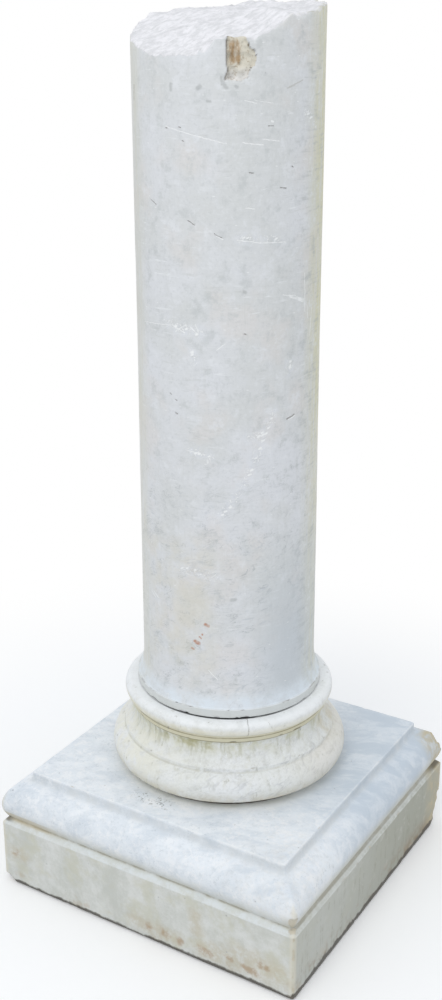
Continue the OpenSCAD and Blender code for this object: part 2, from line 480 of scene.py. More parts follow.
def make_shaft(material):
    """Tapered shaft: the profile up to SHAFT_MAIN, the side up to its broken rim with the pocket sunk into
    it, and the break."""
    profile = shaft_profile()
    loop = circle_loop(370, 0.30)
    place, _, angle = loop
    radius = SHAFT_R - TAPER_IN
    points, normals = carry(profile, loop)
    upper, below_rim, scallop = broken_side(place, radius)
    points = np.concatenate([points, upper])
    normals = np.concatenate([normals, np.broadcast_to(normals[-1], upper.shape)])
    points = hand_worked(points, normals, 0.0007, 61)

    proud = np.concatenate([profile.proud, np.zeros(len(upper))])
    points, broken = nibbled(points, normals, proud, 0.016, 0.005, 0.35, 62)
    degrees = np.degrees(angle)[None, :] + FRONT
    depth, outline, inside = pocket_depth(degrees, points[..., 2])
    ragged = depth * (1 + 0.6 * rough(points, 0.009, 3, 66))
    points = points - ragged[..., None] * normals
    below = np.concatenate([np.full((len(profile.half), len(place)), 1.0), below_rim])
    broken = np.maximum(broken, rise_between(depth, 0.0008, 0.003))
    broken = np.maximum(broken, 1 - rise_between(below, 0.0006, 0.0024))

    cap = broken_top(place, radius, np.hypot(*points[-1, :, :2].T), scallop)
    marks = {}
    sides = {"broken": broken, "proud": proud[:, None], "outline": outline, "pocket": inside}
    for title, values in sides.items():
        values = np.broadcast_to(values, points.shape[:2])
        marks[title] = np.concatenate([values, np.full(cap.shape[:2], float(title == "broken"))])
    rows, marks = capped(np.concatenate([points, cap]), (0.02, 0.5), (), marks)
    piece = skin("shaft_stone", rows, angle, material, marks)
    set_piece(piece, "shaft")


# ---------------------------------------------------------------- finishes

def paint(red, green, blue):
    """A colour from its three display values, 0 to 255, by the sRGB curve."""
    display = np.array([red, green, blue]) / 255
    light = np.where(display <= 0.04045, display / 12.92, ((display + 0.055) / 1.055) ** 2.4)
    return (*light.tolist(), 1.0)


class Finish:
    """A stone's material in the making. Each call adds a node and returns its output."""

    def __init__(self, name):
        self.material = bpy.data.materials.new(name)
        self.material.use_nodes = True
        self.tree = self.material.node_tree
        self.shader = self.tree.nodes["Principled BSDF"]
        self.place = self.add("ShaderNodeTexCoord").outputs["Object"]
        self.unrolled = self.add("ShaderNodeUVMap", uv_map="unrolled").outputs["UV"]
        self.x, self.y, self.z = self.parts(self.place)
        self.around, self.height, _ = self.parts(self.unrolled)
        self.colour = None

    def add(self, kind, inputs=(), **settings):
        """A node of that kind, with its settings, and its inputs by number or name."""
        node = self.tree.nodes.new(kind)
        for setting, value in settings.items():
            setattr(node, setting, value)
        for socket, value in dict(inputs).items():
            self.feed(node.inputs[socket], value)
        return node

    def feed(self, socket, value):
        """Joins a node's output to a socket, or sets the socket's own value."""
        if isinstance(value, bpy.types.NodeSocket):
            self.tree.links.new(value, socket)
        else:
            socket.default_value = value

    def parts(self, vector):
        """X, Y and Z of a vector."""
        return self.add("ShaderNodeSeparateXYZ", {0: vector}).outputs

    def wandering(self, vector, scale, reach):
        """A vector pushed about by noise, so that what is drawn on it has uneven edges."""
        push = self.add(
            "ShaderNodeTexNoise", {"Vector": self.place, "Scale": scale, "Detail": 2.0},
        ).outputs["Color"]
        push = self.add(
            "ShaderNodeVectorMath", {0: push, 1: (0.5, 0.5, 0.5)}, operation="SUBTRACT",
        ).outputs[0]
        push = self.add("ShaderNodeVectorMath", {0: push, "Scale": reach}, operation="SCALE").outputs[0]
        return self.add("ShaderNodeVectorMath", {0: vector, 1: push}, operation="ADD").outputs[0]

    def size(self, value):
        """A number without its sign."""
        return self.add("ShaderNodeMath", {0: value}, operation="ABSOLUTE").outputs[0]

    def radius(self):
        """Distance from the upright axis."""
        flat = self.add(
            "ShaderNodeVectorMath", {0: self.place, 1: (1, 1, 0)}, operation="MULTIPLY",
        ).outputs[0]
        return self.add("ShaderNodeVectorMath", {0: flat}, operation="LENGTH").outputs["Value"]

    def attribute(self, name):
        """A number kept on the mesh's points."""
        return self.add("ShaderNodeAttribute", attribute_name=name).outputs["Fac"]

    def sum(self, a, b):
        return self.add("ShaderNodeMath", {0: a, 1: b}, operation="ADD").outputs[0]

    def times(self, a, b):
        return self.add("ShaderNodeMath", {0: a, 1: b}, operation="MULTIPLY").outputs[0]

    def most(self, *values):
        """The largest of several values."""
        total = values[0]
        for value in values[1:]:
            total = self.add("ShaderNodeMath", {0: total, 1: value}, operation="MAXIMUM").outputs[0]
        return total

    def between(self, value, low, high, start=0.0, end=1.0):
        """Smooth step from start at low to end at high. High may be the lower number."""
        if low > high:
            low, high, start, end = high, low, end, start
        inputs = {0: value, 1: low, 2: high, 3: start, 4: end}
        return self.add("ShaderNodeMapRange", inputs, interpolation_type="SMOOTHSTEP").outputs[0]

    def band(self, value, low, high, soft):
        """1 from low to high, falling smoothly to 0 within soft on either side."""
        return self.times(self.between(value, low - soft, low), self.between(value, high + soft, high))

    def stretched(self, vector, scale=(1, 1, 1), turn=0.0):
        """A vector turned about Z by degrees, then scaled along each axis."""
        rotated = self.add(
            "ShaderNodeMapping", {"Vector": vector, "Rotation": (0, 0, math.radians(turn))},
        ).outputs[0]
        return self.add("ShaderNodeMapping", {"Vector": rotated, "Scale": scale}).outputs[0]

    def noise(self, vector, scale, detail=3.0, gain=0.55, warp=0.0):
        """Fractal noise from 0 to 1, with features about 1 / scale metres across."""
        inputs = {"Vector": vector, "Scale": scale, "Detail": detail, "Roughness": gain, "Distortion": warp}
        return self.add("ShaderNodeTexNoise", inputs).outputs[0]

    def specks(self, vector, scale, size, share):
        """Small round specks: cells about 1 / scale metres apart, a share of which hold a speck."""
        cell = self.add("ShaderNodeTexVoronoi", {"Vector": vector, "Scale": scale})
        dot = self.between(cell.outputs["Distance"], size, size * 0.45)
        lottery = self.parts(cell.outputs["Color"])[0]
        return self.times(dot, self.between(lottery, share + 0.01, share))

    def strokes(self, where, marks, soft=0.0004):
        """The strongest of several strokes. A stroke fades with the distance from a straight line between
        two points to its half-width, and noise breaks it up."""
        masks = []
        where = self.add("ShaderNodeVectorMath", {0: where, 1: (1, 1, 0)}, operation="MULTIPLY").outputs[0]
        for start, end, half in marks:
            a, b = Vector((*start, 0)), Vector((*end, 0))
            way = b - a
            inputs = {0: where, 1: tuple(a)}
            offset = self.add("ShaderNodeVectorMath", inputs, operation="SUBTRACT").outputs[0]
            scaled = tuple(way / max(way.length_squared, 1e-9))
            share = self.add(
                "ShaderNodeVectorMath", {0: offset, 1: scaled}, operation="DOT_PRODUCT",
            ).outputs["Value"]
            share = self.add("ShaderNodeClamp", {0: share}).outputs[0]
            nearest = self.add(
                "ShaderNodeVectorMath", {0: tuple(way), "Scale": share}, operation="SCALE",
            ).outputs[0]
            gap = self.add(
                "ShaderNodeVectorMath", {0: offset, 1: nearest}, operation="DISTANCE",
            ).outputs["Value"]
            masks.append(self.between(gap, half + soft, half * 0.4))
        return self.most(*masks)

    def mix(self, share, a, b):
        """Colour a turned towards colour b by share."""
        return self.add("ShaderNodeMix", {0: share, 6: a, 7: b}, data_type="RGBA").outputs[2]

    def tint(self, share, strength, shade):
        """Turns the stone's colour so far, by share times strength, towards a shade: three display values or
        another node's colour."""
        if strength != 1:
            share = self.times(share, strength)
        if isinstance(shade, tuple):
            shade = paint(*shade)
        self.colour = self.mix(share, self.colour, shade)

    def finish(self, roughness, height, reach):
        """Joins the colour, a roughness and a height in metres, through a bump of that reach, to the
        shader."""
        self.feed(self.shader.inputs["Base Color"], self.colour)
        self.feed(self.shader.inputs["Roughness"], roughness)
        bump = self.add("ShaderNodeBump", {"Strength": 1.0, "Distance": reach, "Height": height})
        self.feed(self.shader.inputs["Normal"], bump.outputs[0])
        return self.material


def skin_marks(marks):
    """Strokes given as (degrees, height in mm) pairs and a half-width in mm, on the unrolled map."""
    def pin(degrees, height):
        return (math.radians(degrees - FRONT) * SHAFT_R, height * MM)
    return [(pin(*start), pin(*end), half * MM) for start, end, half in marks]


# Marks on the shaft: both ends as (degrees round the column, height in mm), and a half-width in mm.
WHITE_SCRATCHES = (
    ((-97, 1344), (-60, 1321), 0.7), ((-51, 1322), (-39, 1318), 0.8), ((-39, 1326), (-29, 1322), 0.8),
    ((-25, 1092), (-15, 1087), 0.7), ((-20, 1088), (-9, 1076), 2.0), ((-14, 1083), (-8, 1077), 3.6),
    ((-7, 1119), (-6, 1058), 0.8), ((-4, 1068), (-3, 1047), 0.7),
    ((2, 1060), (0, 1017), 0.8), ((-95, 1046), (-86, 1036), 1.2), ((-92, 1037), (-85, 1049), 1.0),
    ((-82, 1046), (-78, 1036), 1.2), ((-79, 1050), (-77, 1039), 0.9), ((-66, 1012), (-61, 1022), 0.8),
    ((-72, 458), (-66, 441), 0.9), ((-119, 572), (-114, 563), 0.9), ((-116, 574), (-111, 567), 0.9),
    ((-50, 1381), (-43, 1377), 0.6), ((-44, 1381), (-33, 1376), 0.5), ((-122, 1039), (-96, 1045), 0.5),
    ((-20, 889), (-14, 893), 0.9), ((-66, 1187), (-62, 1181), 0.7), ((-34, 1351), (-33, 1350), 2.0),
    ((-54, 1181), (-40, 1175), 0.9), ((-40, 1175), (-24, 1173), 0.9),
    ((-49, 1228), (-44, 1226), 0.8), ((-72, 832), (-72, 827), 1.6), ((-84, 844), (-77, 843), 1.0),
)
NICKED_PATHS = (
    ((-31, 907), (-38, 865), 6.0), ((-38, 865), (-44, 823), 7.0), ((-44, 823), (-53, 774), 7.0),
    ((-53, 774), (-64, 738), 7.0), ((-46, 868), (-38, 874), 6.0), ((-97, 1047), (-76, 1037), 8.0),
    ((-19, 984), (-20, 970), 6.0), ((-90, 637), (-66, 630), 8.0), ((-82, 1008), (-80, 992), 6.0),
    ((-84, 846), (-70, 838), 6.0), ((-52, 1182), (-30, 1180), 5.0), ((-8, 1360), (2, 1340), 5.0),
)


def scattered_nicks(paths, per_path, seed):
    """Short nicks along paths: each lies a random share of the way from start to end and a random step up or
    down within the path's width, with a half-width of 0.8 to 1.6 mm."""
    draw = np.random.default_rng(seed)
    nicks = []
    for start, end, width in paths:
        for share in draw.uniform(0, 1, per_path):
            degrees = start[0] + share * (end[0] - start[0])
            height = start[1] + share * (end[1] - start[1]) + draw.uniform(-0.5, 0.5) * width
            nicks.append(((degrees, height), (degrees + 1, height + 1), draw.uniform(0.8, 1.6)))
    return nicks


DARK_MARKS = (
    ((-28, 1254), (-24, 1253), 0.8), ((-20, 1284), (-19, 1282), 0.9), ((-47, 1279), (-45, 1278), 0.6),
    ((-111, 1234), (-106, 1228), 0.6), ((-83, 1208), (-79, 1202), 0.7), ((-67, 1190), (-63, 1184), 0.7),
    ((-97, 935), (-96, 933), 0.9), ((-93, 926), (-92, 925), 0.8), ((-93, 904), (-92, 903), 1.7),
    ((-21, 891), (-15, 895), 1.2), ((-97, 1342), (-96, 1341), 0.8), ((-88, 1344), (-87, 1343), 0.7),
    ((-86, 1324), (-85, 1323), 0.7), ((-36, 1344), (-33, 1344), 0.6), ((-131, 1398), (-132, 1376), 1.4),
    ((-130, 1480), (-131, 1470), 1.2), ((-50, 1037), (-49, 1036), 1.0),
)
GREY_SPOTS = (
    ((-93, 1404), (-93, 1396), 2.2), ((-57, 590), (-55, 591), 3.0), ((-76, 1399), (-75, 1401), 3.4),
    ((-71, 1381), (-69, 1381), 0.8), ((22, 590), (22, 574), 2.5), ((-50, 1102), (-49, 1101), 2.0),
    ((-63, 1414), (-62.5, 1404), 1.2), ((-62, 1408), (-61, 1403), 2.4), ((-61, 1402), (-60, 1399), 2.0),
    ((-55, 1401), (-54, 1400), 2.0),
)
ORANGE_SPOTS = (
    ((-74, 543), (-72, 541), 3.0), ((-81, 509), (-78.5, 506), 3.6), ((-83, 495), (-82, 494), 1.8),
    ((-76, 524), (-76, 523), 1.2), ((-78, 518), (-77, 516), 1.2),
)


def shaft_finish():
    """Cool white marble: fine mottling and smudges, flecks that lie level, grey-blue veins that rise to the
    right in the lower third, an olive tint down its right that is painted reflected light from green
    surroundings, painted shade low on the right and on the foot fillet, painted light on the flare and along
    the arrises, a painted shadow round the pocket, scratches, nicks and spots, and sugary white stone where
    it is broken."""
    f = Finish("shaft_marble")
    wander = f.wandering(f.unrolled, 160, 0.003)
    broken = f.attribute("broken")

    clouds = f.noise(f.place, 7, 4)
    warmth = f.noise(f.place, 11, 3)
    smudge = f.noise(f.place, 38, 5, 0.65)
    mottle = f.noise(f.place, 180, 3, 0.6)
    level = f.noise(f.stretched(f.place, (26, 26, 200)), 1.0, 4, 0.65)
    upright = f.noise(f.stretched(f.place, (120, 120, 9)), 1.0, 4, 0.6)
    veins = f.noise(f.stretched(f.unrolled, (24, 56, 1), -18), 1.0, 5, 0.66, 2.4)
    vein_lines = f.noise(f.stretched(f.unrolled, (11, 28, 1), -14), 1.0, 5, 0.62, 2.2)
    patches = f.between(f.noise(f.place, 15, 4, 0.6), 0.46, 0.62)
    front_part = f.between(f.size(f.around), 0.46, 0.38)
    low_part = f.times(f.between(f.height, 0.88, 0.64), front_part)

    f.colour = f.mix(f.between(clouds, 0.35, 0.65), paint(222, 224, 224), paint(230, 232, 236))
    f.tint(f.between(warmth, 0.50, 0.68), 0.45, (230, 225, 221))
    f.tint(f.between(smudge, 0.52, 0.70), 0.55, (200, 204, 204))
    f.tint(f.between(smudge, 0.46, 0.30), 0.50, (240, 242, 246))
    f.tint(f.between(mottle, 0.52, 0.72), 0.30, (200, 203, 205))
    f.tint(f.between(mottle, 0.46, 0.30), 0.30, (240, 242, 245))
    scored = f.sum(f.times(patches, 0.7), 0.3)
    f.tint(f.times(f.between(level, 0.55, 0.72), f.times(scored, 0.42)), 1, (203, 205, 203))
    f.tint(f.times(f.between(level, 0.42, 0.28), f.times(scored, 0.75)), 1, (244, 246, 248))
    f.tint(f.between(upright, 0.54, 0.74), 0.20, (206, 208, 205))
    veined = f.times(low_part, f.sum(f.times(patches, 0.75), 0.15))
    f.tint(f.times(f.between(veins, 0.52, 0.68), f.times(veined, 0.55)), 1, (182, 189, 196))
    thin_veins = f.times(f.band(vein_lines, 0.497, 0.503, 0.012), f.between(smudge, 0.44, 0.60))
    f.tint(f.times(thin_veins, f.times(low_part, 0.42)), 1, (164, 170, 174))
    high_veins = f.times(f.times(thin_veins, front_part), f.between(f.height, 1.30, 0.90))
    f.tint(high_veins, 0.18, (170, 174, 176))
    cream = f.times(f.band(f.around, -0.13, -0.045, 0.05), f.band(f.height, 0.47, 0.66, 0.06))
    cream = f.times(cream, f.between(f.noise(f.place, 24, 4), 0.32, 0.70))
    f.tint(cream, 0.45, (224, 218, 198))
    far_left = f.times(f.between(f.around, -0.145, -0.19), f.between(upright, 0.3, 0.7, 0.25, 0.65))
    far_left = f.times(far_left, f.between(f.around, -0.40, -0.30))
    f.tint(far_left, 1, (218, 217, 202))
    # Painted shade: the lower right of the shaft made cooler and darker towards the bottom.
    low_right_shade = f.times(f.band(f.around, 0.11, 0.25, 0.10), f.between(f.height, 0.74, 0.48))
    f.tint(low_right_shade, 0.75, (204, 211, 217))
    # Olive tint down the right side: painted reflected light from green surroundings, laid on as a stain of
    # that side.
    olive = f.times(f.between(f.around, 0.125, 0.205), f.between(f.around, 0.42, 0.25))
    olive = f.times(olive, f.between(f.height, 0.50, 1.05, 0.45, 1.0))
    streaky = f.noise(f.stretched(f.place, (110, 110, 9)), 1.0, 3, 0.6)
    f.tint(f.times(olive, f.between(streaky, 0.30, 0.68, 0.40, 1.0)), 1, (220, 217, 182))
    right_part = f.times(f.between(f.around, 0.10, 0.17), f.between(f.around, 0.42, 0.25))
    right_dark = f.between(f.sum(f.times(smudge, 0.5), f.times(level, 0.5)), 0.50, 0.64)
    f.tint(f.times(right_part, f.times(right_dark, 0.42)), 1, (176, 182, 184))
    right_light = f.between(f.sum(f.times(mottle, 0.5), f.times(smudge, 0.5)), 0.47, 0.36)
    f.tint(f.times(right_part, f.times(right_light, 0.45)), 1, (234, 238, 240))
    # Painted light: the flare above the foot, which faces up, made brighter and bluer.
    flare = f.band(f.height, shaft_low.z + 0.018, shaft_low.z + 0.024, 0.026)
    f.tint(f.times(flare, f.between(smudge, 0.35, 0.65, 0.85, 0.35)), 1, (229, 238, 246))
    # Painted shade: the upright face of the foot fillet made greyer.
    foot = f.between(f.height, shaft_low.z + 0.0175, shaft_low.z + 0.0155)
    f.tint(foot, 0.65, (213, 215, 210))
    # Painted highlight along the arrises, which are also worn lighter.
    bright_arris = f.between(f.attribute("proud"), 0.0003, 0.0009)
    f.tint(bright_arris, 0.6, (243, 246, 248))

    nicked = f.strokes(wander, skin_marks(NICKED_PATHS), 0.004)
    nicked = f.times(nicked, f.between(f.noise(f.place, 280, 3, 0.7), 0.545, 0.62))
    nicks = scattered_nicks(NICKED_PATHS, 3, 71)
    nicked = f.most(nicked, f.strokes(wander, skin_marks(nicks), 0.0012))
    bruised = f.times(
        f.strokes(wander, skin_marks(NICKED_PATHS), 0.012), f.between(f.noise(f.place, 90, 4), 0.42, 0.62),
    )
    flecks = f.specks(f.stretched(f.place, (70, 70, 190)), 1.0, 0.20, 0.06)
    grits = f.specks(f.place, 60, 0.10, 0.05)
    scratches = f.strokes(wander, skin_marks(WHITE_SCRATCHES))
    white = f.most(
        f.times(scratches, f.between(mottle, 0.35, 0.55, 0.35, 0.9)), nicked, f.times(flecks, 0.6),
    )
    dark = f.strokes(wander, skin_marks(DARK_MARKS))
    grey = f.strokes(wander, skin_marks(GREY_SPOTS), 0.002)
    orange = f.strokes(wander, skin_marks(ORANGE_SPOTS), 0.0012)
    # Painted shadow: a dark brown line along the pocket's outline, where its sides fall in shade.
    pocket_edge_shadow = f.times(f.attribute("outline"), f.between(f.noise(f.place, 190, 3), 0.30, 0.50, 0.5, 1.0))
    faint = f.strokes(
        wander, skin_marks((((-23, 1397), (-12, 1406), 0.6), ((-24, 1396), (-19, 1399), 0.8))), 0.001,
    )
    f.tint(grits, 0.35, (150, 152, 150))
    f.tint(bruised, 0.38, (240, 243, 250))
    f.tint(white, 0.90, (254, 255, 255))
    f.tint(grey, 0.40, (158, 161, 160))
    f.tint(faint, 0.30, (150, 142, 124))
    f.tint(f.times(dark, f.between(mottle, 0.40, 0.55, 0.25, 0.65)), 1, (112, 106, 96))
    f.tint(f.times(orange, f.between(mottle, 0.38, 0.56, 0.50, 0.80)), 1, (186, 122, 86))

    grain = f.noise(f.stretched(f.place, (48, 110, 90), -72), 1.0, 4, 0.68)
    fresh = f.mix(f.between(grain, 0.36, 0.64), paint(222, 222, 224), paint(243, 242, 245))
    pocket = f.between(f.attribute("pocket"), 0.2, 0.7)
    fresh = f.mix(
        f.times(pocket, f.between(f.height, 1.412, 1.432, 0.35, 0.85)), fresh, paint(220, 214, 196),
    )
    rust = f.times(f.band(f.around, 0.007, 0.017, 0.010), f.band(f.height, 1.440, 1.456, 0.018))
    stained = f.noise(f.stretched(f.unrolled, (130, 50, 1)), 1.0, 4, 0.7)
    rust = f.between(f.sum(f.times(rust, 0.42), stained), 0.64, 1.00)
    fresh = f.mix(f.times(f.times(rust, pocket), 0.85), fresh, paint(170, 136, 94))
    crusts = f.times(pocket, f.between(f.noise(f.place, 150, 4, 0.7), 0.53, 0.66))
    fresh = f.mix(f.times(crusts, 0.55), fresh, paint(150, 128, 96))
    rim = f.times(f.between(f.radius(), 0.138, 0.147), f.band(f.around, 0.13, 0.30, 0.05))
    lichen = f.times(rim, f.between(f.noise(f.place, 70, 4), 0.42, 0.60))
    fresh = f.mix(f.times(lichen, 0.5), fresh, paint(196, 194, 170))
    f.tint(f.between(broken, 0.25, 0.75), 1, fresh)
    # Painted shadow along the pocket's outline.
    f.tint(pocket_edge_shadow, 0.90, (104, 92, 74))
    joint = f.between(f.z, shaft_low.z + 0.0022, shaft_low.z + 0.0006)
    joint = f.times(joint, f.between(f.noise(f.place, 40, 3), 0.3, 0.5))
    joint = f.times(joint, f.between(f.size(f.sum(f.around, 0.010)), 0.16, 0.06, 0.35, 1.0))
    f.tint(joint, 1, (48, 46, 44))

    relief = f.times(f.noise(f.place, 420, 3, 0.7), f.between(broken, 0.3, 0.6, 0.08, 0.45))
    relief = f.sum(relief, f.times(mottle, 0.15))
    relief = f.sum(relief, f.times(f.most(white, grits), -0.2))
    relief = f.sum(relief, f.times(f.most(dark, pocket_edge_shadow), -0.6))
    return f.finish(f.between(broken, 0.2, 0.8, 0.5, 0.85), relief, 0.0012)


def base_finish():
    """Cream-white marble: ochre grime under the small torus, drips down the scotia and the large torus, a
    cream fillet between two brown lines of painted shadow, the lower one with some dirt, grey-purple streaks
    on the right, a dark line in the joint with the shaft, a painted contact shadow round its foot, painted
    shade on the small torus's underside and in the hollow over the lip, and a painted highlight on its crown
    and arrises."""
    f = Finish("base_marble")
    low = base_low.z
    neck_low, neck_high = low + NECK_H, low + 0.1278
    blots = f.noise(f.place, 45, 4, 0.6)
    mottle = f.noise(f.place, 210, 4, 0.7)
    smudge = f.noise(f.place, 60, 4, 0.65)
    drips = f.noise(f.stretched(f.place, (85, 85, 12)), 1.0, 4, 0.65)
    proud = f.attribute("proud")
    left = f.times(f.between(f.around, 0.10, -0.10), f.between(f.around, -0.42, -0.30))

    f.colour = f.mix(
        f.between(f.noise(f.place, 10, 4), 0.35, 0.65), paint(231, 233, 230), paint(239, 241, 243),
    )
    f.tint(f.between(smudge, 0.50, 0.68), 0.55, (206, 207, 202))
    f.tint(f.between(mottle, 0.50, 0.70), 0.40, (204, 206, 204))
    f.tint(f.between(mottle, 0.47, 0.32), 0.50, (246, 248, 250))
    broken_up = f.between(f.noise(f.place, 70, 4, 0.65), 0.36, 0.60)
    streaked = f.times(f.between(drips, 0.50, 0.68), f.sum(f.times(left, 0.4), 0.35))
    f.tint(f.times(streaked, broken_up), 0.60, (203, 201, 184))
    lilac = f.noise(f.stretched(f.unrolled, (40, 90, 1), -30), 1.0, 5, 0.65, 0.8)
    lilac = f.times(f.between(lilac, 0.50, 0.66), f.between(f.around, -0.10, 0.08, 0.35, 0.85))
    lilac = f.times(lilac, f.between(f.size(f.around), 0.46, 0.38))
    lilac = f.times(lilac, f.between(f.z, low + 0.066, low + 0.078, 1.0, 0.45))
    f.tint(lilac, 0.62, (184, 186, 189))
    hollow_part = f.between(f.z, neck_low + 0.001, neck_low)
    yellowed = f.times(f.between(f.around, -0.02, -0.14), f.between(f.around, -0.40, -0.32))
    yellowed = f.times(f.times(yellowed, hollow_part), f.between(blots, 0.34, 0.62, 0.15, 0.75))
    f.tint(yellowed, 1, (237, 236, 223))
    under = f.times(f.between(f.z, low + 0.078, low + 0.113), hollow_part)
    grime = f.between(f.sum(blots, f.times(left, 0.12)), 0.42, 0.72, 0.12, 0.80)
    f.tint(f.times(under, grime), 1, (204, 202, 168))
    running = f.times(f.between(f.z, low + 0.070, low + 0.110), hollow_part)
    running = f.times(running, f.between(f.sum(drips, f.times(left, 0.08)), 0.52, 0.68))
    f.tint(running, 0.60, (184, 184, 160))
    # The large torus turns tan towards its underside.
    torus_low_tan = f.times(f.between(f.z, low + 0.044, low + 0.006), f.between(blots, 0.30, 0.60, 0.35, 0.95))
    f.tint(torus_low_tan, 1, (206, 197, 172))
    # Painted shade: the underside of the small torus turned warmer and darker.
    small_under_shade = f.times(
        f.between(f.z, neck_high + 0.009, neck_high), f.between(f.z, neck_high - 0.001, neck_high),
    )
    f.tint(small_under_shade, 0.50, (226, 220, 196))
    # Painted shade colour: a warm cream tint lower on the small torus.
    small_low = f.times(
        f.between(f.z, neck_high + 0.018, neck_high + 0.008),
        f.between(f.z, neck_high + 0.002, neck_high + 0.006),
    )
    f.tint(small_low, 0.60, (248, 243, 226))
    neck = f.times(
        f.between(f.z, neck_low - 0.0005, neck_low + 0.0005), f.between(f.z, neck_high, neck_high - 0.001),
    )
    f.tint(neck, 0.85, (216, 210, 178))
    # Two brown lines, broken up by noise: painted shadow high on the fillet under the small torus, and
    # painted shadow with dirt under the fillet's lower edge.
    uneven_lines = f.between(blots, 0.25, 0.55, 0.45, 0.95)
    f.tint(f.times(f.band(f.z, neck_low - 0.0016, neck_low + 0.0002, 0.0010), uneven_lines), 1, (146, 134, 98))
    f.tint(
        f.times(f.band(f.z, neck_high - 0.0052, neck_high - 0.0034, 0.0012), uneven_lines), 1, (158, 148, 116),
    )
    soft_top = f.band(f.z, neck_high - 0.0036, neck_high + 0.001, 0.001)
    f.tint(soft_top, 0.7, (232, 228, 206))
    # Painted shade in the hollow where the lip meets the scotia.
    crease_shade = f.times(f.between(proud, -0.0001, -0.0008), f.between(f.z, low + 0.078, low + 0.072))
    f.tint(
        f.times(crease_shade, f.between(f.sum(blots, f.times(left, 0.15)), 0.4, 0.7, 0.05, 0.40)),
        1,
        (184, 182, 164),
    )
    small_left = f.times(f.times(small_low, left), f.between(blots, 0.36, 0.60))
    f.tint(small_left, 0.50, (216, 210, 174))
    right_end = f.times(f.band(f.around, 0.19, 0.26, 0.04), f.band(f.z, low + 0.068, low + 0.108, 0.008))
    right_end = f.times(right_end, f.between(blots, 0.25, 0.70))
    f.tint(right_end, 0.50, (200, 187, 150))
    # Painted highlight: the top of the small torus made brighter where it faces up.
    crown = f.between(f.z, base_high.z - 0.012, base_high.z - 0.004)
    f.tint(f.times(crown, f.between(blots, 0.3, 0.6, 0.35, 0.75)), 1, (248, 250, 251))
    mossy = f.times(f.band(f.around, -0.110, -0.035, 0.045), f.band(f.z, low + 0.103, low + 0.1155, 0.016))
    mossy = f.between(f.sum(f.times(mossy, 0.42), blots), 0.76, 1.10)
    f.tint(f.times(mossy, hollow_part), 0.75, (172, 166, 118))
    warm_right = f.times(f.between(f.around, 0.05, 0.16), f.between(f.z, low + 0.072, low + 0.060))
    f.tint(warm_right, 0.45, (222, 216, 200))
    # Painted highlight along the arrises, which are also worn lighter.
    bright = f.times(f.between(proud, 0.0002, 0.0008), f.between(blots, 0.35, 0.6))
    f.tint(bright, 0.35, (246, 247, 247))
    f.tint(f.between(f.attribute("broken"), 0.3, 0.8), 0.6, (170, 164, 146))
    dabs = f.times(f.between(drips, 0.56, 0.66), f.between(f.noise(f.place, 95, 3, 0.6), 0.54, 0.64))
    f.tint(dabs, 0.45, (168, 168, 160))
    specks = f.specks(f.stretched(f.place, (60, 60, 34)), 1.0, 0.13, 0.08)
    f.tint(specks, 0.55, (140, 138, 130))
    joint = f.times(
        f.band(f.radius(), 0.150, 0.1632, 0.0010), f.between(f.z, base_high.z - 0.002, base_high.z - 0.001),
    )
    centred = f.between(f.size(f.sum(f.around, 0.010)), 0.17, 0.03, 0.15, 1.0)
    f.tint(f.times(joint, f.times(centred, f.between(blots, 0.25, 0.5, 0.4, 0.95))), 1, (52, 54, 54))
    # Painted contact shadow: a dark brown line round the foot, where the base sits on the plinth.
    foot = f.between(f.z, low + 0.0040, low + 0.0008)
    f.tint(f.times(foot, f.between(blots, 0.2, 0.5, 0.6, 0.95)), 1, (104, 82, 66))
    crack = f.strokes(f.wandering(f.unrolled, 90, 0.003), skin_marks((((-49.0, 347), (-48.4, 380), 0.45),)))
    f.tint(f.times(crack, f.between(f.noise(f.place, 120, 3), 0.35, 0.6, 0.15, 0.55)), 1, (140, 134, 118))

    relief = f.sum(f.times(mottle, 0.18), f.times(f.most(crack, specks), -0.6))
    return f.finish(0.5, relief, 0.001)


# Stains on the plinth's front: both ends as (x, z) in mm, and a half-width in mm.
BROAD_STAINS = (
    ((130, 30), (200, 34), 12), ((200, 44), (268, 40), 20),
    ((112, 92), (118, 62), 3), ((-10, 30), (70, 27), 5),
    ((-275, 68), (-255, 66), 5),
)
SMALL_STAINS = (
    ((20, 31), (21, 29), 4), ((52, 29), (58, 26), 5), ((83, 25), (84, 24), 3), ((124, 27), (142, 26), 5),
    ((-272, 68), (-268, 69), 3), ((176, 34), (182, 33), 2),
    ((206, 28), (232, 26), 3), ((238, 46), (250, 44), 3),
)


